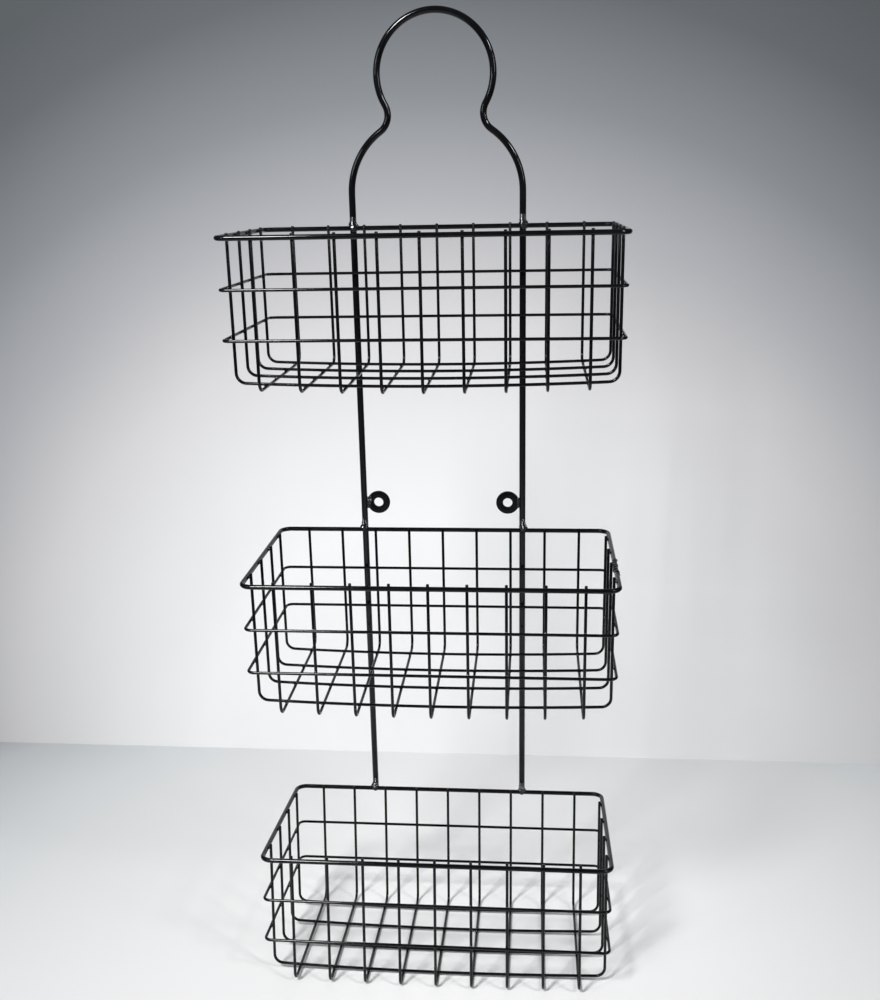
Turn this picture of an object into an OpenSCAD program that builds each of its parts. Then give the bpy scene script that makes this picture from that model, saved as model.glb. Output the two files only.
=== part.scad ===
// Three-tier wire organizer in millimetres. One bent wire, with a hanging loop at its
// top, carries three welded wire baskets and two screw eyelets.
// +X is to the right, +Y towards the wall, +Z up. The bottom basket stands on z = 0,
// and the frame leans forward over it, turned about that basket's back rim.
// A basket is drawn from the middle of its back rim: it reaches to -Y and down to -Z.

/* [Hanger frame] */
// Distance between the axes of the two uprights
upright_spacing = 128; // [110:1:150]
// Diameter of the frame's wire
frame_wire_d = 5; // [4:0.1:6]
// Radius of the hanging loop, to the axis of the wire
loop_r = 42.5; // [38:0.5:46]
// Height of the loop's centre above the top basket's rim
loop_rise = 108; // [100:1:120]
// Radius of the pinched neck under the loop
neck_r = 14; // [8:0.5:18]
// Radius of the frame's rounded shoulders
shoulder_r = 53; // [46:1:54]
// Height above the top basket's rim where the shoulders begin
shoulder_rise = 25; // [16:1:30]
// Length of each upright below the bottom basket's rim
upright_tail = 4; // [2:0.5:8]
// Degrees that the frame leans forward over the bottom basket
frame_lean = 7; // [0:0.5:10]

/* [Basket] */
// Height from one basket's rim to the next
tier_pitch = 238; // [200:1:280]
// Width of a basket over its rim
basket_w = 268; // [240:1:300]
// Depth of a basket over its rim, front to back
basket_d = 138; // [120:1:160]
// Height of a basket, from the top of its rim to its underside
basket_h = 105; // [90:1:125]
// Corner radius of the rim, to the axis of its wire
rim_corner_r = 8; // [6:0.5:11]
// Depth of the upper hoop below the axis of the rim
upper_hoop_drop = 33; // [25:1:40]
// Depth of the lower hoop below the axis of the rim
lower_hoop_drop = 66; // [55:1:72]
// Corner radius of the hoops, to the axis of their wire
hoop_corner_r = 5; // [4:0.5:8]
// Radius of the sag of the floor, to the axis of the lengthwise wires
floor_bow_r = 3000; // [2000:100:6000]

/* [Basket wires] */
// Diameter of the rim's wire
rim_wire_d = 3.5; // [3:0.1:4.5]
// Diameter of the wire of the hoops, walls and floor
mesh_wire_d = 2.2; // [1.8:0.1:2.8]
// Number of wires that run from left to right under each basket
lengthwise_count = 4; // [2:1:5]
// Distance from the walls' front and back wires to the nearest lengthwise wire
lengthwise_margin = 17.9; // [12:0.1:24]
// Number of wires that run from front to back under each basket
crosswise_count = 9; // [5:2:9]
// Distance from the walls' left and right wires to the nearest crosswise wire
crosswise_margin = 20.2; // [14:0.1:30]
// Radius of the bends where a wall becomes the floor, to the axis of the wire
floor_bend_r = 7; // [5:0.5:10]
// Length of each wire's end above the top of the rim
wire_end = 0.9; // [0.4:0.1:2]

/* [Eyelets and welds] */
// Diameter of a screw eyelet
eyelet_d = 18.5; // [15:0.5:20]
// Diameter of the screw hole in an eyelet
eyelet_hole_d = 7.5; // [5:0.5:9]
// Thickness of an eyelet
eyelet_t = 2; // [1.2:0.1:3]
// Height of the eyelets' centres above the middle basket's rim
eyelet_rise = 22; // [18:1:40]
// Radius of the largest lump in a weld bead on a rim
rim_weld_r = 2.8; // [2:0.1:3]
// Radius of the largest lump in a weld bead on an eyelet
eyelet_weld_r = 2.2; // [1.4:0.1:2.4]

/* [Hidden] */
$fn = 96;
bow_fn = 256;
// A corner bend laps this far over the lengths of wire that it joins, and is thicker
// than they are by this much all round
bend_lap = 0.05;
bend_grow = 0.03;
TIERS = ["bottom", "middle", "top"];

// Rim, measured to the axis of its wire
rim_half_x = (basket_w - rim_wire_d) / 2;
rim_half_y = (basket_d - rim_wire_d) / 2;
rim_depth = 2 * rim_half_y;
// The walls' wires stand inside the rim and touch it
leg_inset = (rim_wire_d + mesh_wire_d) / 2;
leg_half_x = rim_half_x - leg_inset;
leg_half_y = rim_half_y - leg_inset;
leg_top = rim_wire_d / 2 + wire_end;
// The rows of wires end a margin inside the walls
lengthwise_row_half = leg_half_y - lengthwise_margin;
crosswise_row_half = leg_half_x - crosswise_margin;
// The crosswise wires are lowest, and the lengthwise wires lie on them
crosswise_drop = basket_h - (rim_wire_d + mesh_wire_d) / 2;
lengthwise_drop = crosswise_drop - mesh_wire_d;
crosswise_bow_r = floor_bow_r + mesh_wire_d;
// Frame: the uprights stand behind the rims and touch them
upright_y = (rim_wire_d + frame_wire_d) / 2;
frame_top = (len(TIERS) - 1) * tier_pitch;
loop_centre = [0, frame_top + loop_rise];
shoulder_centre = [upright_spacing / 2 - shoulder_r, frame_top + shoulder_rise];
neck_centre = outer_meeting(loop_centre, loop_r + neck_r, shoulder_centre, shoulder_r + neck_r);
shoulder_start = [upright_spacing / 2, shoulder_centre.y];
shoulder_end_angle = heading(shoulder_centre, neck_centre);
loop_end_angle = heading(loop_centre, neck_centre);
// Screw eyelets touch the inner sides of the uprights
eyelet_x = (upright_spacing - frame_wire_d - eyelet_d) / 2;
eyelet_z = tier_pitch + eyelet_rise;
// Lumps of a weld bead as [right, back, up, radius], in shares of its largest lump's radius.
// On a rim they are measured from where the rim touches the upright.
rim_weld_shares = [[0, -0.22, 1.04, 1], [-0.5, -0.34, 0.52, 0.84], [0.5, -0.34, 0.52, 0.84],
                   [0, -0.03, 1.72, 0.84], [0, 0.12, 2.36, 0.7]];
rim_weld_tail_shares = [[0, 0.3, -1.1, 0.7]];
eyelet_weld_shares = [[0.3, -0.4, 0, 1], [0.45, -0.32, 1.2, 0.85], [0.45, -0.32, -1.2, 0.85]];
// Place of the whole object: standing on z = 0, with the middle of its outline at y = 0
base_z = basket_h - rim_wire_d / 2;
front_reach = rim_depth * cos(frame_lean) + frame_top * sin(frame_lean) + rim_wire_d / 2;
back_reach = (upright_y + frame_wire_d / 2) * cos(frame_lean) + upright_tail * sin(frame_lean);
base_y = (front_reach - back_reach) / 2;

function lengthwise_name(tier, i) = str(tier, "_lengthwise_wire_", i);
function crosswise_name(tier, i) = str(tier, "_crosswise_wire_", i);

// Point at distance ra from a and rb from b, on the right of the line between them
function outer_meeting(a, ra, b, rb) =
    let (gap = norm(b - a), along = (ra * ra - rb * rb + gap * gap) / (2 * gap))
    let (side = sqrt(ra * ra - along * along), u = (b - a) / gap)
    a + along * u + side * [-u.y, u.x];

// Direction in degrees from one point to another
function heading(from, to) = atan2(to.y - from.y, to.x - from.x);

// Place of wire number i of count, evenly spaced from one end of a row to the other
function row_place(i, count, row_half) = (2 * (i - 1) / (count - 1) - 1) * row_half;

// Height of a sagging floor at x, below the rim
function bowed_drop(drop, bow_r, x) = drop - bow_r + sqrt(bow_r * bow_r - x * x);

// Straight length of wire in the drawing plane
module straight_wire(from, to, wire_d) {
    translate([from.x, from.y, 0])
        rotate([0, 0, heading(from, to)])
            rotate([0, 90, 0])
                cylinder(h = norm(to - from), d = wire_d);
}

// Curved length of wire in the drawing plane, from one angle round to the other
module curved_wire(centre, curve_r, from_angle, to_angle, wire_d) {
    translate([centre.x, centre.y, 0])
        rotate([0, 0, from_angle])
            rotate_extrude(angle = to_angle - from_angle)
                translate([curve_r, 0])
                    circle(d = wire_d);
}

// Bend that joins the lengths of wire at both its ends
module joining_bend(centre, bend_r, from_angle, to_angle, wire_d) {
    lap_angle = bend_lap / bend_r * 180 / PI;
    curved_wire(centre, bend_r, from_angle - lap_angle, to_angle + lap_angle,
                wire_d + 2 * bend_grow);
}

// Turns the drawing plane upright, along X
module facing_front() {
    rotate([90, 0, 0]) children();
}

// Turns the drawing plane upright, along Y
module facing_side() {
    rotate([90, 0, 90]) children();
}

// Draws the right half of a wire and its mirror image
module both_sides() {
    children();
    mirror([1, 0, 0]) children();
}

// Closed rectangle of wire with round corners, flat in the drawing plane
module wire_ring(half_x, half_y, corner_r, wire_d) {
    corner = [half_x - corner_r, half_y - corner_r];
    for (side = [-1, 1]) {
        straight_wire([-corner.x, side * half_y], [corner.x, side * half_y], wire_d);
        straight_wire([side * half_x, -corner.y], [side * half_x, corner.y], wire_d);
    }
    for (turn = [0:3])
        let (sx = (turn == 0 || turn == 3) ? 1 : -1, sy = turn < 2 ? 1 : -1)
            joining_bend([sx * corner.x, sy * corner.y], corner_r, turn * 90, (turn + 1) * 90,
                         wire_d);
}

// U-shaped wire with its open end up and a level floor
module flat_u_wire(half_w, drop, wire_d) {
    bend_centre = [half_w - floor_bend_r, floor_bend_r - drop];
    both_sides() {
        straight_wire([half_w, bend_centre.y], [half_w, leg_top], wire_d);
        joining_bend(bend_centre, floor_bend_r, -90, 0, wire_d);
    }
    straight_wire([-bend_centre.x, -drop], [bend_centre.x, -drop], wire_d);
}

// U-shaped wire with its open end up and a floor that sags in the middle
module bowed_u_wire(half_w, drop, bow_r, wire_d) {
    bow_centre = [0, bow_r - drop];
    bend_x = half_w - floor_bend_r;
    bend_rise = bow_centre.y - sqrt(pow(bow_r - floor_bend_r, 2) - bend_x * bend_x);
    bend_centre = [bend_x, bend_rise];
    bow_end = heading(bow_centre, bend_centre);
    both_sides() {
        straight_wire([half_w, bend_rise], [half_w, leg_top], wire_d);
        joining_bend(bend_centre, floor_bend_r, bow_end, 0, wire_d);
    }
    curved_wire(bow_centre, bow_r, -180 - bow_end, bow_end, wire_d, $fn = bow_fn);
}

// Round lumps of weld metal about a point
module weld_lumps(shares, lump_r) {
    for (s = shares)
        translate([s[0], s[1], s[2]] * lump_r)
            rotate([0, 0, 90])
                sphere(r = s[3] * lump_r);
}

// Carries what belongs to the leaning frame
module on_frame() {
    translate([0, base_y, base_z])
        rotate([frame_lean, 0, 0])
            children();
}

// Carries a basket: the bottom one stands level, and the others hang on the frame
module on_tier(tier) {
    if (tier == TIERS[0])
        translate([0, base_y, base_z]) children();
    else
        on_frame()
            translate([0, 0, tier_height(tier)]) children();
}

// Height of a tier's rim above the bottom basket's rim
function tier_height(tier) = search([tier], TIERS)[0] * tier_pitch;

// Both uprights as plain bars, to cut weld beads against
module upright_bars() {
    for (side = [-1, 1])
        translate([side * upright_spacing / 2, upright_y, -upright_tail])
            cylinder(h = shoulder_start.y + upright_tail, d = frame_wire_d);
}

// One wire: uprights, shoulders, pinched neck and round loop
module hanger_frame() {
    color([0.07, 0.07, 0.075])
        on_frame() translate([0, upright_y, 0]) facing_front() {
            both_sides() {
                straight_wire([upright_spacing / 2, -upright_tail], shoulder_start, frame_wire_d);
                joining_bend(shoulder_centre, shoulder_r, 0, shoulder_end_angle, frame_wire_d);
                curved_wire(neck_centre, neck_r, loop_end_angle + 180, shoulder_end_angle + 180,
                            frame_wire_d);
            }
            joining_bend(loop_centre, loop_r, loop_end_angle, 180 - loop_end_angle, frame_wire_d);
        }
}

// Flat round washer with a screw hole, standing beside an upright
module eyelet(side) {
    color([0.08, 0.08, 0.085])
        on_frame()
            translate([side * eyelet_x, upright_y, eyelet_z])
                rotate([90, 0, 0])
                    difference() {
                        cylinder(h = eyelet_t, d = eyelet_d, center = true);
                        cylinder(h = 2 * eyelet_t, d = eyelet_hole_d, center = true);
                    }
}

// Beads that join the eyelets to the uprights
module eyelet_welds() {
    color([0.12, 0.12, 0.125])
        on_frame() difference() {
            for (side = [-1, 1])
                translate([side * (upright_spacing - frame_wire_d) / 2, upright_y, eyelet_z])
                    mirror([side < 0 ? 0 : 1, 0, 0])
                        weld_lumps(eyelet_weld_shares, eyelet_weld_r);
            upright_bars();
            for (side = [-1, 1])
                translate([side * eyelet_x, upright_y, eyelet_z])
                    rotate([90, 0, 0])
                        cylinder(h = eyelet_t, d = eyelet_d, center = true);
        }
}

// Beads in the corners between the uprights and one tier's rim
module rim_welds(tier) {
    shares = tier == TIERS[0] ? concat(rim_weld_shares, rim_weld_tail_shares) : rim_weld_shares;
    color([0.12, 0.12, 0.125])
        on_frame() difference() {
            for (side = [-1, 1])
                translate([side * upright_spacing / 2, rim_wire_d / 2, tier_height(tier)])
                    weld_lumps(shares, rim_weld_r);
            upright_bars();
            translate([0, 0, tier_height(tier)])
                rotate([0, 90, 0])
                    cylinder(h = basket_w - 2 * rim_corner_r, d = rim_wire_d, center = true);
        }
}

// Thick wire round the top edge of a basket
module rim(tier) {
    color([0.06, 0.06, 0.065])
        on_tier(tier)
            translate([0, -rim_half_y, 0])
                wire_ring(rim_half_x, rim_half_y, rim_corner_r, rim_wire_d);
}

// Thin wire round the outside of a basket's walls
module hoop(tier, drop) {
    color([0.06, 0.06, 0.065])
        on_tier(tier)
            translate([0, -rim_half_y, -drop])
                wire_ring(leg_half_x + mesh_wire_d, leg_half_y + mesh_wire_d, hoop_corner_r,
                          mesh_wire_d);
}

// Wire from the left rim, along the floor, to the right rim
module lengthwise_wire(tier, i) {
    color([0.06, 0.06, 0.065])
        on_tier(tier)
            translate([0, row_place(i, lengthwise_count, lengthwise_row_half) - rim_half_y, 0])
                facing_front()
                    bowed_u_wire(leg_half_x, lengthwise_drop, floor_bow_r, mesh_wire_d);
}

// Wire from the front rim, under the lengthwise wires, to the back rim
module crosswise_wire(tier, i) {
    x = row_place(i, crosswise_count, crosswise_row_half);
    color([0.06, 0.06, 0.065])
        on_tier(tier)
            translate([x, -rim_half_y, 0])
                facing_side()
                    flat_u_wire(leg_half_y, bowed_drop(crosswise_drop, crosswise_bow_r, x),
                                mesh_wire_d);
}

hanger_frame();
eyelet(-1);  // left_eyelet
eyelet(1);  // right_eyelet
eyelet_welds();
for (t = TIERS) {
    rim(t);
    hoop(t, upper_hoop_drop);
    hoop(t, lower_hoop_drop);
    rim_welds(t);
    for (i = [1:lengthwise_count])
        lengthwise_wire(t, i);
    for (i = [1:crosswise_count])
        crosswise_wire(t, i);
}
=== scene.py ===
import math
import random

import bpy
from mathutils import Matrix, Vector


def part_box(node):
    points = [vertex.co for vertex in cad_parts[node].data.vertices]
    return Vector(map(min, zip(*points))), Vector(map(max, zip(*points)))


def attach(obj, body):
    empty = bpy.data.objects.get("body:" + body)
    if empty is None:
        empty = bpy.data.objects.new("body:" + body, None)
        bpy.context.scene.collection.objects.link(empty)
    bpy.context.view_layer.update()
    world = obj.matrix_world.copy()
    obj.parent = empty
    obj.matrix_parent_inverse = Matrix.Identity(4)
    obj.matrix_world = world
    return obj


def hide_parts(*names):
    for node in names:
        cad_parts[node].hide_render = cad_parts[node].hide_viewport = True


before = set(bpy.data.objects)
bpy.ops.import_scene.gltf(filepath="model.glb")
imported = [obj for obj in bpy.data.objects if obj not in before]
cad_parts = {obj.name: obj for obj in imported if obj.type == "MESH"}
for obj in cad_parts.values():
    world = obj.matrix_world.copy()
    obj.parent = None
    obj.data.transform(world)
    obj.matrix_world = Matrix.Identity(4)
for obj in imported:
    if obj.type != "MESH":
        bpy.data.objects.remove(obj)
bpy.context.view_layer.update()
mm = 0.001
touch = 0.01 * mm  # points nearer than this count as one
tiers = ["bottom", "middle", "top"]
print("frame loaded")


def linearColor(hexText):
    # sRGB hex to the linear values that shaders want
    channels = [int(hexText[i:i + 2], 16) / 255 for i in (1, 3, 5)]
    return [c / 12.92 if c <= 0.04045 else ((c + 0.055) / 1.055) ** 2.4 for c in channels] + [1]


def addNode(tree, kind, links=None, **settings):
    # a node with its values, fed by {its socket: (other node, that node's socket)}
    node = tree.nodes.new(kind)
    for key, value in settings.items():
        if key in node.inputs:
            node.inputs[key].default_value = value
        else:
            setattr(node, key, value)
    for socket, (other, output) in (links or {}).items():
        tree.links.new(other.outputs[output], node.inputs[socket])
    return node


def newMaterial(name):
    material = bpy.data.materials.new(name)
    material.use_nodes = True
    material.node_tree.nodes.clear()
    return material


# Black coating

coating = {
    # drawn wire under epoxy powder: even, near black, satin to glossy, with a faint orange peel
    "frame": {
        "name": "black powder coat on 5 mm wire", "dark": "#050507", "light": "#0c0c0f",
        "roughness": (0.07, 0.11), "specular": 0.3, "peelSize": 2.6, "peelDepth": 0.035,
    },
    # the thin wires take the same powder a little thicker for their size
    "basket": {
        "name": "black powder coat on thin wire", "dark": "#050506", "light": "#0d0d10",
        "roughness": (0.08, 0.13), "specular": 0.24, "peelSize": 1.8, "peelDepth": 0.03,
    },
    # stamped washer: flat faces show the peel more than round wire does
    "washer": {
        "name": "black powder coat on stamped steel", "dark": "#060607", "light": "#111113",
        "roughness": (0.18, 0.3), "specular": 0.16, "peelSize": 1.2, "peelDepth": 0.05,
    },
    # weld metal under the powder: the coat pools in the ripples and shines
    "weld": {
        "name": "black powder coat on weld metal", "dark": "#060608", "light": "#121216",
        "roughness": (0.04, 0.08), "specular": 0.75, "peelSize": 0.9, "peelDepth": 0.04,
    },
}
# the slow drift of tone and gloss along a piece: its size in mm, and the noise values at its ends
coatDrift = {"size": 18, "tones": (0.35, 0.7), "gloss": (0.3, 0.7)}


def makeCoating(s):
    material = newMaterial(s["name"])
    tree = material.node_tree
    place = addNode(tree, "ShaderNodeTexCoord")
    drift = addNode(
        tree, "ShaderNodeTexNoise", {"Vector": (place, "Object")},
        Scale=1 / (coatDrift["size"] * mm), Detail=3.0, Roughness=0.6,
    )
    tone = addNode(tree, "ShaderNodeValToRGB", {"Fac": (drift, "Fac")})
    colors = s["dark"], s["light"]
    for stop, level, color in zip(tone.color_ramp.elements, coatDrift["tones"], colors):
        stop.position = level
        stop.color = linearColor(color)
    (fromLow, fromHigh), (toLow, toHigh) = coatDrift["gloss"], s["roughness"]
    gloss = addNode(
        tree, "ShaderNodeMapRange", {"Value": (drift, "Fac")},
        **{"From Min": fromLow, "From Max": fromHigh, "To Min": toLow, "To Max": toHigh},
    )
    peel = addNode(
        tree, "ShaderNodeTexNoise", {"Vector": (place, "Object")},
        Scale=1 / (s["peelSize"] * mm), Detail=2.0, Roughness=0.5,
    )
    bump = addNode(
        tree, "ShaderNodeBump", {"Height": (peel, "Fac")},
        Strength=1.0, Distance=s["peelDepth"] * mm,
    )
    shader = addNode(
        tree, "ShaderNodeBsdfPrincipled",
        {"Base Color": (tone, "Color"), "Roughness": (gloss, "Result"), "Normal": (bump, "Normal")},
        **{"Specular IOR Level": s["specular"]},
    )
    addNode(tree, "ShaderNodeOutputMaterial", {"Surface": (shader, "BSDF")})
    return material


coats = {key: makeCoating(s) for key, s in coating.items()}
print("coatings mixed")


# Wire forming: a circle is drawn out straight and round bends

wireForm = {"endSegments": 3, "smoothBelow": 40}  # the angle in degrees


def startWire(name, place, wire, sides, facing=(0, 0, 0), closed=False):
    bpy.ops.object.select_all(action="DESELECT")
    bpy.ops.mesh.primitive_circle_add(
        vertices=sides, radius=wire / 2, fill_type="NOTHING" if closed else "NGON",
        location=place, rotation=facing,
    )
    piece = bpy.context.object
    piece.name = name
    piece.data.name = name
    bpy.ops.object.transform_apply(location=True, rotation=True, scale=True)
    bpy.ops.object.mode_set(mode="EDIT")
    bpy.ops.mesh.select_all(action="SELECT")
    return piece


def drawOut(x=0, y=0, z=0):
    bpy.ops.mesh.extrude_region_move(TRANSFORM_OT_translate={"value": (x, y, z)})


def bendRound(centre, axis, degrees, steps):
    # spin runs the other way round than a right-handed turn
    bpy.ops.mesh.spin(steps=steps, angle=-math.radians(degrees), center=centre, axis=axis)


def smoothOutside(degrees):
    # turns every face outwards and leaves only the sharper edges hard
    bpy.ops.mesh.normals_make_consistent(inside=False)
    bpy.ops.object.mode_set(mode="OBJECT")
    bpy.ops.object.shade_smooth_by_angle(angle=math.radians(degrees))


def endWire(piece, sides, endRound):
    # rounds the cut ends
    bpy.ops.object.mode_set(mode="OBJECT")
    for face in piece.data.polygons:
        face.select = len(face.vertices) == sides
    bpy.ops.object.mode_set(mode="EDIT")
    bpy.ops.mesh.region_to_loop()
    bpy.ops.mesh.bevel(offset=endRound, segments=wireForm["endSegments"], affect="EDGES")
    bpy.ops.mesh.select_all(action="SELECT")
    smoothOutside(wireForm["smoothBelow"])


def closeWire():
    # joins a ring's two open ends
    bpy.ops.mesh.select_all(action="SELECT")
    bpy.ops.mesh.remove_doubles(threshold=touch)
    smoothOutside(wireForm["smoothBelow"])


def copyPiece(piece, name, turn):
    copied = piece.copy()
    copied.data = piece.data.copy()
    copied.name = name
    copied.data.name = name
    copied.data.transform(turn)
    bpy.context.scene.collection.objects.link(copied)
    return copied


def finishPiece(piece, coat, *nodes):
    piece.data.materials.clear()
    piece.data.materials.append(coats[coat])
    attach(piece, "root")
    if nodes:
        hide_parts(*nodes)


# Places: each tier is a copy of the bottom basket, turned with the leaning frame

basket = {
    "halfX": 132.25 * mm,  # rim, to the axis of its wire
    "halfY": 67.25 * mm,
    "height": 105 * mm,
    "rimWire": 3.5 * mm,
    "rimCorner": 8 * mm,
    "wire": 2.2 * mm,
    "hoopCorner": 5 * mm,
    "hoopDrops": {"upper": 33 * mm, "lower": 66 * mm},
    "floorBend": 7 * mm,
    "floorSag": 3000 * mm,  # radius of the hanging floor
    "lengthwise": 4,
    "lengthwiseGap": 31 * mm,
    "crosswise": 9,
    "crosswiseGap": 27.3 * mm,
    "wireEnd": 0.9 * mm,
    "endRound": 0.55 * mm,
    "sides": 18,
    "rimSides": 24,
    "bendSteps": 8,
    "floorSteps": 32,
}
legInset = (basket["rimWire"] + basket["wire"]) / 2
legX = basket["halfX"] - legInset
legY = basket["halfY"] - legInset
legTop = basket["rimWire"] / 2 + basket["wireEnd"]
crosswiseDrop = basket["height"] - legInset
lengthwiseDrop = crosswiseDrop - basket["wire"]

rimLow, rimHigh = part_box("bottom_rim")
rimMiddle = (rimLow + rimHigh) / 2
leanDegrees = 7
tierPitch = 238 * mm
backOfRim = rimMiddle + Vector((0, basket["halfY"], 0))
frameTurn = Matrix.Translation(backOfRim) @ Matrix.Rotation(math.radians(leanDegrees), 4, "X")


def tierTurn(tier):
    if tier == "bottom":
        return Matrix.Translation(rimMiddle)
    rise = tiers.index(tier) * tierPitch
    return frameTurn @ Matrix.Translation((0, -basket["halfY"], rise))


def onEachTier(piece, part, coat):
    # the piece itself becomes the bottom one
    for tier in tiers[1:]:
        copied = copyPiece(piece, f"coated_{tier}_{part}", tierTurn(tier))
        finishPiece(copied, coat, f"{tier}_{part}")
    piece.name = f"coated_bottom_{part}"
    piece.data.transform(tierTurn("bottom"))
    finishPiece(piece, coat, f"bottom_{part}")


def rowPlaces(count, gap):
    # evenly spaced about the middle
    return [(i - (count + 1) / 2) * gap for i in range(1, count + 1)]


def floorRise(x, sag):
    # how far the hanging floor has risen at x
    return sag - math.sqrt(sag * sag - x * x)


def makeRing(name, halfX, halfY, corner, wire, sides, drop):
    innerX, innerY = halfX - corner, halfY - corner
    ring = startWire(
        name, (halfX, 0, -drop), wire, sides, facing=(math.radians(90), 0, 0), closed=True
    )
    steps = basket["bendSteps"]
    drawOut(y=innerY)
    bendRound((innerX, innerY, -drop), (0, 0, 1), 90, steps)
    drawOut(x=-2 * innerX)
    bendRound((-innerX, innerY, -drop), (0, 0, 1), 90, steps)
    drawOut(y=-2 * innerY)
    bendRound((-innerX, -innerY, -drop), (0, 0, 1), 90, steps)
    drawOut(x=2 * innerX)
    bendRound((innerX, -innerY, -drop), (0, 0, 1), 90, steps)
    drawOut(y=innerY)
    closeWire()
    return ring


def makeRims():
    s = basket
    rim = makeRing("rim", s["halfX"], s["halfY"], s["rimCorner"], s["rimWire"], s["rimSides"], 0)
    onEachTier(rim, "rim", "basket")


def makeHoops():
    out = legX + basket["wire"], legY + basket["wire"]
    for place, drop in basket["hoopDrops"].items():
        hoop = makeRing(place, *out, basket["hoopCorner"], basket["wire"], basket["sides"], drop)
        onEachTier(hoop, f"{place}_hoop", "basket")


def makeLengthwiseWires():
    bend, sag, steps = basket["floorBend"], basket["floorSag"], basket["bendSteps"]
    sagCentre = sag - lengthwiseDrop
    bendX = legX - bend
    bendZ = sagCentre - math.sqrt((sag - bend) ** 2 - bendX * bendX)
    bendTurn = math.degrees(math.atan2(sagCentre - bendZ, bendX))
    for i, y in enumerate(rowPlaces(basket["lengthwise"], basket["lengthwiseGap"]), 1):
        wire = startWire("lengthwise", (-legX, y, legTop), basket["wire"], basket["sides"])
        drawOut(z=bendZ - legTop)
        bendRound((-bendX, y, bendZ), (0, -1, 0), bendTurn, steps)
        bendRound((0, y, sagCentre), (0, -1, 0), 2 * (90 - bendTurn), basket["floorSteps"])
        bendRound((bendX, y, bendZ), (0, -1, 0), bendTurn, steps)
        drawOut(z=legTop - bendZ)
        endWire(wire, basket["sides"], basket["endRound"])
        onEachTier(wire, f"lengthwise_wire_{i}", "basket")


def makeCrosswiseWires():
    bend, steps = basket["floorBend"], basket["bendSteps"]
    sag = basket["floorSag"] + basket["wire"]
    for i, x in enumerate(rowPlaces(basket["crosswise"], basket["crosswiseGap"]), 1):
        bendZ = floorRise(x, sag) - crosswiseDrop + bend
        bendY = legY - bend
        wire = startWire("crosswise", (x, -legY, legTop), basket["wire"], basket["sides"])
        drawOut(z=bendZ - legTop)
        bendRound((x, -bendY, bendZ), (1, 0, 0), 90, steps)
        drawOut(y=2 * bendY)
        bendRound((x, bendY, bendZ), (1, 0, 0), 90, steps)
        drawOut(z=legTop - bendZ)
        endWire(wire, basket["sides"], basket["endRound"])
        onEachTier(wire, f"crosswise_wire_{i}", "basket")


makeRims()
makeHoops()
makeLengthwiseWires()
makeCrosswiseWires()
print("basket wires drawn")


# Hanger frame

hanger = {
    "wire": 5 * mm,
    "uprightX": 64 * mm,
    "tail": 4 * mm,
    "shoulder": 53 * mm,
    "shoulderRise": 25 * mm,
    "neck": 14 * mm,
    "loop": 42.5 * mm,
    "loopRise": 108 * mm,
    "sides": 32,
    "shoulderSteps": 16,
    "neckSteps": 20,
    "loopSteps": 64,
    "endRound": 1.1 * mm,
}
uprightY = (basket["rimWire"] + hanger["wire"]) / 2


def makeHanger():
    s = hanger
    topRim = 2 * tierPitch
    shoulderX = s["uprightX"] - s["shoulder"]
    shoulderZ = topRim + s["shoulderRise"]
    loopZ = topRim + s["loopRise"]
    # the neck's centre lies outside both the loop and the shoulder: so far along the line
    # from the loop's centre to the shoulder's, and so far aside of it
    fromLoop, fromShoulder = s["loop"] + s["neck"], s["shoulder"] + s["neck"]
    across = Vector((shoulderX, shoulderZ - loopZ))
    along = (fromLoop ** 2 - fromShoulder ** 2 + across.length_squared) / (2 * across.length)
    aside = math.sqrt(fromLoop ** 2 - along ** 2)
    unit = across.normalized()
    neckX = along * unit.x - aside * unit.y
    neckZ = loopZ + along * unit.y + aside * unit.x
    shoulderTurn = math.degrees(math.atan2(neckZ - shoulderZ, neckX - shoulderX))
    loopEnd = math.degrees(math.atan2(neckZ - loopZ, neckX))
    neckTurn = shoulderTurn - loopEnd
    foot = (-s["uprightX"], uprightY, -s["tail"])
    wire = startWire("coated_hanger_frame", foot, s["wire"], s["sides"])
    drawOut(z=shoulderZ + s["tail"])
    bendRound((-shoulderX, uprightY, shoulderZ), (0, 1, 0), shoulderTurn, s["shoulderSteps"])
    bendRound((-neckX, uprightY, neckZ), (0, -1, 0), neckTurn, s["neckSteps"])
    bendRound((0, uprightY, loopZ), (0, 1, 0), 180 - 2 * loopEnd, s["loopSteps"])
    bendRound((neckX, uprightY, neckZ), (0, -1, 0), neckTurn, s["neckSteps"])
    bendRound((shoulderX, uprightY, shoulderZ), (0, 1, 0), shoulderTurn, s["shoulderSteps"])
    drawOut(z=-shoulderZ - s["tail"])
    endWire(wire, s["sides"], s["endRound"])
    wire.data.transform(frameTurn)
    finishPiece(wire, "frame", "hanger_frame")


makeHanger()
print("hanger frame bent")


# Screw eyelets: washers punched from sheet, with a rolled edge on the front and a burr behind

eyelet = {
    "across": 18.5 * mm,
    "hole": 7.5 * mm,
    "thick": 2 * mm,
    "x": 52.25 * mm,
    "rise": 22 * mm,  # above the middle basket's rim
    "frontEdge": 0.45 * mm,
    "backEdge": 0.15 * mm,
    "edgeSegments": 3,
    "smoothBelow": 35,  # degrees
    "sides": 72,
}
eyeletZ = tierPitch + eyelet["rise"]


def selectByCorners(piece, part, wanted):
    # leaves only the faces or edges selected whose corners pass the test
    bpy.ops.mesh.select_all(action="DESELECT")
    bpy.ops.object.mode_set(mode="OBJECT")
    mesh = piece.data
    for item in mesh.polygons if part == "faces" else mesh.edges:
        item.select = wanted([mesh.vertices[v].co for v in item.vertices])
    bpy.ops.object.mode_set(mode="EDIT")


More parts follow.
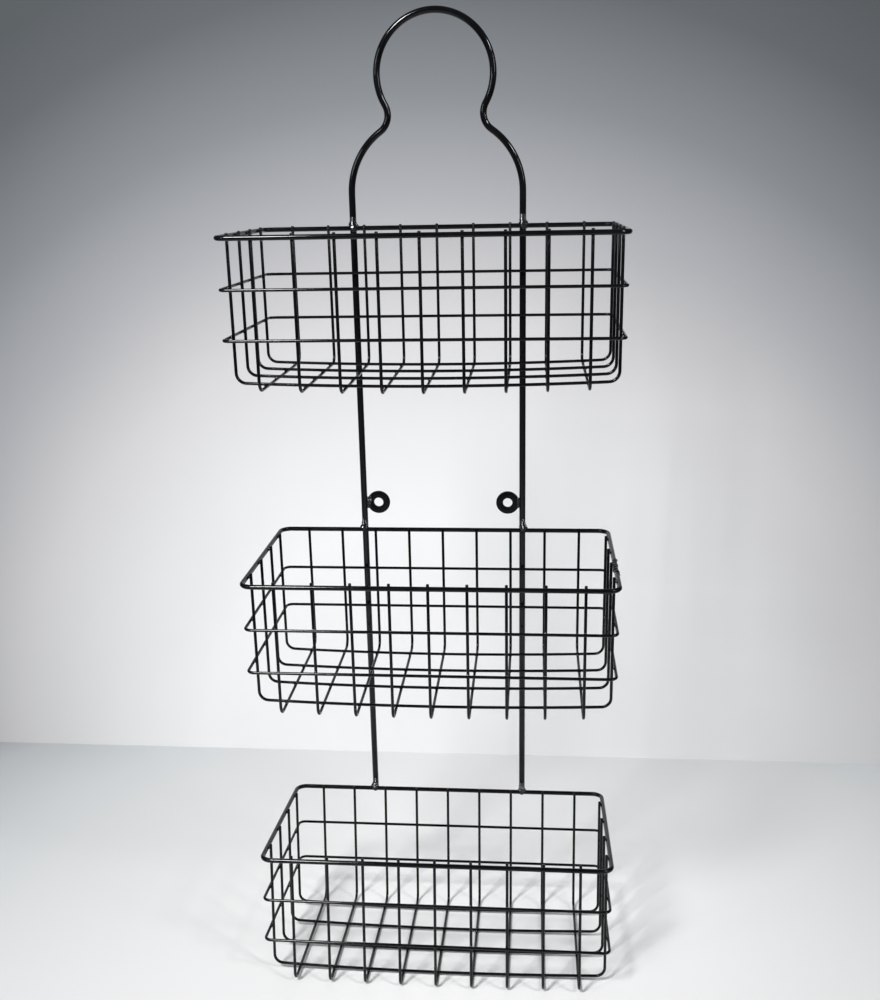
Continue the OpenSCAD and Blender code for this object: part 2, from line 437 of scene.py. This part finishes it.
def makeEyelet(name, side):
    s = eyelet
    bpy.ops.object.select_all(action="DESELECT")
    bpy.ops.mesh.primitive_cylinder_add(
        vertices=s["sides"], radius=s["across"] / 2, depth=s["thick"],
        rotation=(math.radians(90), 0, 0),
    )
    washer = bpy.context.object
    washer.name = name
    washer.data.name = name
    bpy.ops.object.transform_apply(location=True, rotation=True, scale=True)
    bpy.ops.object.mode_set(mode="EDIT")
    bpy.ops.mesh.select_mode(type="FACE")
    selectByCorners(washer, "faces", lambda corners: len(corners) == s["sides"])
    bpy.ops.mesh.inset(thickness=(s["across"] - s["hole"]) / 2, use_boundary=True)
    selectByCorners(washer, "faces", lambda corners: len(corners) == s["sides"])
    bpy.ops.mesh.bridge_edge_loops()
    bpy.ops.mesh.select_mode(type="EDGE")
    for edgeY, size in ((-s["thick"] / 2, s["frontEdge"]), (s["thick"] / 2, s["backEdge"])):
        # both round edges of one face, but not the spokes between them
        selectByCorners(
            washer, "edges",
            lambda corners: all(abs(c.y - edgeY) < touch for c in corners)
            and abs(corners[0].length - corners[1].length) < touch,
        )
        bpy.ops.mesh.bevel(offset=size, segments=s["edgeSegments"], affect="EDGES")
    bpy.ops.mesh.select_all(action="SELECT")
    smoothOutside(s["smoothBelow"])
    washer.data.transform(frameTurn @ Matrix.Translation((side * s["x"], uprightY, eyeletZ)))
    return washer


def makeEyelets():
    for name, side in (("left_eyelet", -1), ("right_eyelet", 1)):
        finishPiece(makeEyelet(f"coated_{name}", side), "washer", name)


makeEyelets()
print("eyelets punched")


# Weld metal: overlapping ripples, melted into one skin

dropForm = {"segments": 20, "rings": 12}
weldSkin = {"grain": 0.2 * mm, "smoothing": 0.4, "smoothings": 2}


def dropOfMetal(place, size, roll=0):
    # size is half the width, depth and height
    bpy.ops.mesh.primitive_uv_sphere_add(
        segments=dropForm["segments"], ring_count=dropForm["rings"], radius=1,
        location=place, scale=size, rotation=(0, math.radians(roll), 0),
    )
    bpy.ops.object.transform_apply(location=True, rotation=True, scale=True)
    return bpy.context.object


def meltTogether(name, drops):
    bpy.ops.object.select_all(action="DESELECT")
    for drop in drops:
        drop.select_set(True)
    bpy.context.view_layer.objects.active = drops[0]
    bpy.ops.object.join()
    bead = bpy.context.object
    bead.name = name
    bead.data.name = name
    bpy.ops.object.modifier_add(type="REMESH")
    bead.modifiers["Remesh"].mode = "VOXEL"
    bead.modifiers["Remesh"].voxel_size = weldSkin["grain"]
    bpy.ops.object.modifier_apply(modifier="Remesh")
    bpy.ops.object.modifier_add(type="SMOOTH")
    bead.modifiers["Smooth"].factor = weldSkin["smoothing"]
    bead.modifiers["Smooth"].iterations = weldSkin["smoothings"]
    bpy.ops.object.modifier_apply(modifier="Smooth")
    bpy.ops.object.shade_smooth()
    return bead


# Each bead fills the corner between an upright's front and the top of a rim, all in mm
rimBead = {
    "ripples": 6,
    "top": {"y": 2.0, "z": 7.6, "size": (2.1, 1.15, 0.95)},
    "foot": {"y": 0.1, "z": 1.2, "size": (3.4, 2.2, 1.5)},
    "wander": 0.22,
    "tumble": 7,  # degrees either way
    "rollLost": 0.55,  # share of a stroke's roll that is gone at the foot
    "seed": 5,
    # the stroke on the left and the right upright: how far its ripples roll, in degrees,
    # and how much further they spread to either side
    "strokes": {
        "bottom": (
            {"roll": -12, "left": 0.6, "right": 0},
            {"roll": 26, "left": 0.1, "right": 0.6},
        ),
        "middle": (
            {"roll": 34, "left": 0.4, "right": 0.3},
            {"roll": -38, "left": -0.5, "right": 1.4},
        ),
        "top": (
            {"roll": -14, "left": 0, "right": 1.7},
            {"roll": 6, "left": -0.2, "right": 1.2},
        ),
    },
    # where the metal ran on: under the bottom rim, and over the top rim's front
    "runs": {
        "bottom": [(0, 0.9, -1.7, (1.9, 1.6, 1.5))],
        "middle": [],
        "top": [(0.7, -0.6, 0.2, (2.9, 1.7, 1.5)), (1.2, 1.0, -1.5, (2.3, 1.4, 1.3))],
    },
}


def rimDrops(x, z, stroke, runs, chance):
    s = rimBead
    top, foot = s["top"], s["foot"]
    drops = []
    for i in range(s["ripples"]):
        share = i / (s["ripples"] - 1)
        y, up = (top[k] + (foot[k] - top[k]) * share for k in ("y", "z"))
        wide, deep, high = (a + (b - a) * share for a, b in zip(top["size"], foot["size"]))
        spread = share * share
        wide += (stroke["left"] + stroke["right"]) / 2 * spread
        aside = (stroke["right"] - stroke["left"]) / 2 * spread
        sideways, back, rise = (chance.uniform(-1, 1) * s["wander"] for axis in range(3))
        place = Vector((x / mm + aside + sideways, y + back / 2, z / mm + up + rise / 2)) * mm
        tumble = chance.uniform(-s["tumble"], s["tumble"])
        roll = stroke["roll"] * (1 - s["rollLost"] * share) + tumble
        drops.append(dropOfMetal(place, Vector((wide, deep, high)) * mm, roll))
    for aside, y, up, size in runs:
        place = Vector((x / mm + aside, y, z / mm + up)) * mm
        drops.append(dropOfMetal(place, Vector(size) * mm))
    return drops


def makeRimBeads():
    chance = random.Random(rimBead["seed"])
    for rise, tier in enumerate(tiers):
        drops = []
        for side, stroke in zip((-1, 1), rimBead["strokes"][tier]):
            x = side * hanger["uprightX"]
            drops += rimDrops(x, rise * tierPitch, stroke, rimBead["runs"][tier], chance)
        bead = meltTogether(f"coated_{tier}_welds", drops)
        bead.data.transform(frameTurn)
        finishPiece(bead, "weld", f"{tier}_welds")


# The eyelets' beads lie on the washer's face beside the upright
eyeletBead = {
    # inwards from the upright's side, towards the wall, up, and the drop's radius, all in mm
    "left": [
        (0.6, -0.7, 3.5, 1.35), (2.3, -0.9, 3.9, 1.25), (3.5, -0.8, 3.3, 1.0),
        (0.9, -0.9, 1.6, 1.7), (2.8, -0.8, 1.6, 1.2), (0.8, -0.8, -0.4, 1.6),
        (2.4, -0.7, -0.6, 1.3), (0.8, -0.8, -2.3, 1.5), (2.1, -0.7, -2.7, 1.1),
        (0.7, -0.7, -3.9, 1.2),
    ],
    "right": [
        (0.9, -0.8, 3.2, 1.35), (0.8, -0.9, 1.7, 1.45), (0.9, -0.8, 0.2, 1.5),
        (0.8, -0.8, -1.4, 1.5), (0.9, -0.7, -3.0, 1.35), (2.0, -0.5, 2.4, 0.9),
        (2.0, -0.5, -2.6, 0.95),
    ],
}


def makeEyeletBeads():
    edge = hanger["uprightX"] - hanger["wire"] / 2
    drops = []
    for side, name in ((-1, "left"), (1, "right")):
        for inwards, back, up, radius in eyeletBead[name]:
            place = (side * (edge - inwards * mm), uprightY + back * mm, eyeletZ + up * mm)
            drops.append(dropOfMetal(place, (radius * mm,) * 3))
    bead = meltTogether("coated_eyelet_welds", drops)
    bead.data.transform(frameTurn)
    finishPiece(bead, "weld", "eyelet_welds")


# The middle rim's ends meet on its right side, in a lumpy butt weld
buttWeld = {
    # along the rail from the back rim, sideways, up, and the drop's radius, all in mm
    "drops": [
        (-71.5, 0.3, 0.3, 1.8), (-74.5, 0.1, 0.3, 2.0), (-78.5, -0.2, 0.3, 1.95),
        (-83.0, 0.1, 0.2, 2.1), (-88.0, -0.3, 0.4, 2.05), (-93.0, -0.4, 0.2, 2.2),
        (-98.0, 0.2, 0.4, 2.05), (-102.5, 0.3, 0.1, 1.9),
    ],
    # a blunt nub of metal stands out sideways
    "nub": {"along": -72, "out": 1.9, "up": 0.6, "size": (0.8, 0.8, 0.55), "roll": -18},
}


def makeButtWeld():
    x = basket["halfX"]
    drops = []
    for along, aside, up, radius in buttWeld["drops"]:
        place = Vector((x / mm + aside, along, up)) * mm
        drops.append(dropOfMetal(place, (radius * mm,) * 3))
    nub = buttWeld["nub"]
    place = Vector((x / mm + nub["out"], nub["along"], nub["up"])) * mm
    drops.append(dropOfMetal(place, Vector(nub["size"]) * mm, nub["roll"]))
    weld = meltTogether("coated_middle_butt_weld", drops)
    weld.data.transform(frameTurn @ Matrix.Translation((0, 0, tierPitch)))
    finishPiece(weld, "weld")


makeRimBeads()
makeEyeletBeads()
makeButtWeld()
print("beads welded")


# Spot welds: wherever wires cross, a flat nugget of squeezed metal sits between them

# half a nugget's width and thickness
spotWeld = {"wide": 1.5 * mm, "thick": 0.75 * mm, "segments": 10, "rings": 6}


def crossings():
    # the nuggets' places in a basket, each with the axis across the two wires
    rows = rowPlaces(basket["lengthwise"], basket["lengthwiseGap"])
    columns = rowPlaces(basket["crosswise"], basket["crosswiseGap"])
    contact = basket["wire"] / 2
    for side in (-1, 1):
        for drop in (0, *basket["hoopDrops"].values()):
            for x in columns:
                yield (x, side * (legY + contact), -drop), "Y"
            for y in rows:
                yield (side * (legX + contact), y, -drop), "X"
    for x in columns:
        for y in rows:
            yield (x, y, floorRise(x, basket["floorSag"]) - lengthwiseDrop - contact), "Z"


def makeSpotWelds():
    s = spotWeld
    bpy.ops.object.select_all(action="DESELECT")
    bpy.ops.mesh.primitive_uv_sphere_add(
        segments=s["segments"], ring_count=s["rings"], radius=1,
        scale=(s["wide"], s["wide"], s["thick"]),
    )
    nugget = bpy.context.object
    bpy.ops.object.transform_apply(location=True, rotation=True, scale=True)
    bpy.ops.object.shade_smooth()
    turns = {
        "X": Matrix.Rotation(math.radians(90), 4, "Y"),
        "Y": Matrix.Rotation(math.radians(90), 4, "X"),
        "Z": Matrix.Identity(4),
    }
    nuggets = [
        copyPiece(nugget, "nugget", Matrix.Translation(place) @ turns[axis])
        for place, axis in crossings()
    ]
    bpy.data.objects.remove(nugget)
    for piece in nuggets:
        piece.select_set(True)
    bpy.context.view_layer.objects.active = nuggets[0]
    bpy.ops.object.join()
    welds = bpy.context.object
    for tier in tiers[1:]:
        finishPiece(copyPiece(welds, f"coated_{tier}_spot_welds", tierTurn(tier)), "weld")
    welds.name = "coated_bottom_spot_welds"
    welds.data.transform(tierTurn("bottom"))
    finishPiece(welds, "weld")


makeSpotWelds()
print("spot welds set")


# Camera

cameraSetup = {
    "place": (73 * mm, -794 * mm, 504 * mm),
    "yaw": -5.01,  # this and the next two in degrees
    "pitch": 9.24,
    "roll": -0.53,
    "focalPixels": 1082,
    "imageHeight": 1000,
    "sensor": 36,  # mm
    "nearest": 10 * mm,
}


def makeCamera():
    s = cameraSetup
    turn = (
        Matrix.Rotation(math.radians(-s["yaw"]), 4, "Z")
        @ Matrix.Rotation(math.radians(90 - s["pitch"]), 4, "X")
        @ Matrix.Rotation(math.radians(s["roll"]), 4, "Z")
    )
    bpy.ops.object.camera_add(location=s["place"], rotation=turn.to_euler())
    camera = bpy.context.object
    camera.data.sensor_width = s["sensor"]
    camera.data.lens = s["focalPixels"] / s["imageHeight"] * s["sensor"]
    camera.data.clip_start = s["nearest"]
    bpy.context.scene.camera = camera


makeCamera()
print("camera ready")


# Room: a pale table top against a grey wall, both darker away from the object: painted shade, a
# pool of light and its falloff painted into their colour

room = {
    "floor": {
        "name": "matt white table top with painted shade", "size": (6.0, 6.0), "place": (0, 0, 0),
        "facing": (0, 0, 0), "roughness": 0.6, "paintedLightCentre": (0.05, 0.1, 0),
        # distance from the centre of the painted pool of light in metres, and the colour there; the
        # darkening with distance is painted shade
        "tones": ((0.15, "#eeeeee"), (0.24, "#e6e6e6"), (0.33, "#dfdfdf"), (0.42, "#d8d9d9"),
                  (0.51, "#ced2d4"), (0.66, "#babec0"), (0.78, "#8d9093"), (1.0, "#707376")),
    },
    "wall": {
        "name": "grey wall with painted shade", "size": (6.0, 2.4), "place": (0, 0.424, 1.2),
        "facing": (90, 0, 0), "roughness": 0.8, "paintedLightCentre": (-0.04, 0.424, 0),
        # painted shade: the wall darkens away from its lit centre, upwards and to the sides
        "tones": ((0.1, "#e2e2e3"), (0.28, "#e4e4e5"), (0.39, "#d8d8d9"), (0.51, "#c4c3c4"),
                  (0.63, "#9f9fa3"), (0.75, "#767a7e"), (0.87, "#52565b"), (0.95, "#454a4d")),
    },
}


def makeSurfaceWithPaintedShade(s):
    material = newMaterial(s["name"])
    tree = material.node_tree
    place = addNode(tree, "ShaderNodeTexCoord")
    # the colour darkens with distance from the lit centre: a pool of light and its falloff painted
    # into the colour, not the surface's own tone
    fromPaintedLightCentre = addNode(
        tree, "ShaderNodeMapping", {"Vector": (place, "Object")},
        Location=[-c for c in s["paintedLightCentre"]],
    )
    distance = addNode(
        tree, "ShaderNodeVectorMath", {"Vector": (fromPaintedLightCentre, "Vector")}, operation="LENGTH"
    )
    tone = addNode(tree, "ShaderNodeValToRGB", {"Fac": (distance, "Value")})
    stops = tone.color_ramp.elements
    while len(stops) < len(s["tones"]):
        stops.new(1)
    for stop, (reach, color) in zip(stops, s["tones"]):
        stop.position = reach
        stop.color = linearColor(color)
    shader = addNode(
        tree, "ShaderNodeBsdfPrincipled", {"Base Color": (tone, "Color")},
        Roughness=s["roughness"],
    )
    # one side only, so that the wall never hides the object from behind
    side = addNode(tree, "ShaderNodeNewGeometry")
    nothing = addNode(tree, "ShaderNodeBsdfTransparent")
    oneSided = addNode(
        tree, "ShaderNodeMixShader",
        {"Fac": (side, "Backfacing"), 1: (shader, "BSDF"), 2: (nothing, "BSDF")},
    )
    addNode(tree, "ShaderNodeOutputMaterial", {"Surface": (oneSided, "Shader")})
    return material


def makeRoom():
    for name, s in room.items():
        bpy.ops.object.select_all(action="DESELECT")
        bpy.ops.mesh.primitive_plane_add(
            size=1, location=s["place"], rotation=[math.radians(turn) for turn in s["facing"]]
        )
        plane = bpy.context.object
        plane.name = name
        plane.scale = (*s["size"], 1)
        bpy.ops.object.transform_apply(location=True, rotation=True, scale=True)
        plane.data.materials.append(makeSurfaceWithPaintedShade(s))


makeRoom()
print("room ready")


# Lamps

lamps = {
    # a bright panel ahead on the left draws the white lines along the rims
    "key": {
        "place": (-0.55, -1.1, 1.3), "target": (0, 0, 0.35), "size": (0.25, 0.38), "power": 28,
    },
    # a smaller one ahead on the right glints in the front corners
    "fill": {
        "place": (1.15, -1.0, 1.3), "target": (0, 0, 0.35), "size": (0.18, 0.22), "power": 9,
    },
    # two narrow strips at the sides draw fine lines along the hanging loop
    "left": {
        "place": (-1.05, -1.0, 0.88), "target": (0, 0, 0.6), "size": (0.09, 0.4), "power": 3.5,
    },
    "right": {
        "place": (1.25, -0.85, 0.88), "target": (0, 0, 0.6), "size": (0.09, 0.4), "power": 3.5,
    },
}
# what the ceiling and the rest of the room give back
roomLight = {"name": "soft room light", "color": "#d8dbe0", "strength": 0.2}


def makeLamps():
    for name, s in lamps.items():
        place = Vector(s["place"])
        aim = (Vector(s["target"]) - place).to_track_quat("-Z", "Y").to_euler()
        bpy.ops.object.light_add(type="AREA", location=place, rotation=aim)
        lamp = bpy.context.object
        lamp.name = name
        lamp.data.shape = "RECTANGLE"
        lamp.data.size, lamp.data.size_y = s["size"]
        lamp.data.energy = s["power"]
    world = bpy.data.worlds.new(roomLight["name"])
    bpy.context.scene.world = world
    world.use_nodes = True
    background = world.node_tree.nodes["Background"]
    background.inputs["Color"].default_value = linearColor(roomLight["color"])
    background.inputs["Strength"].default_value = roomLight["strength"]


makeLamps()
print("lamps ready")

bpy.context.scene.view_settings.view_transform = "Standard"
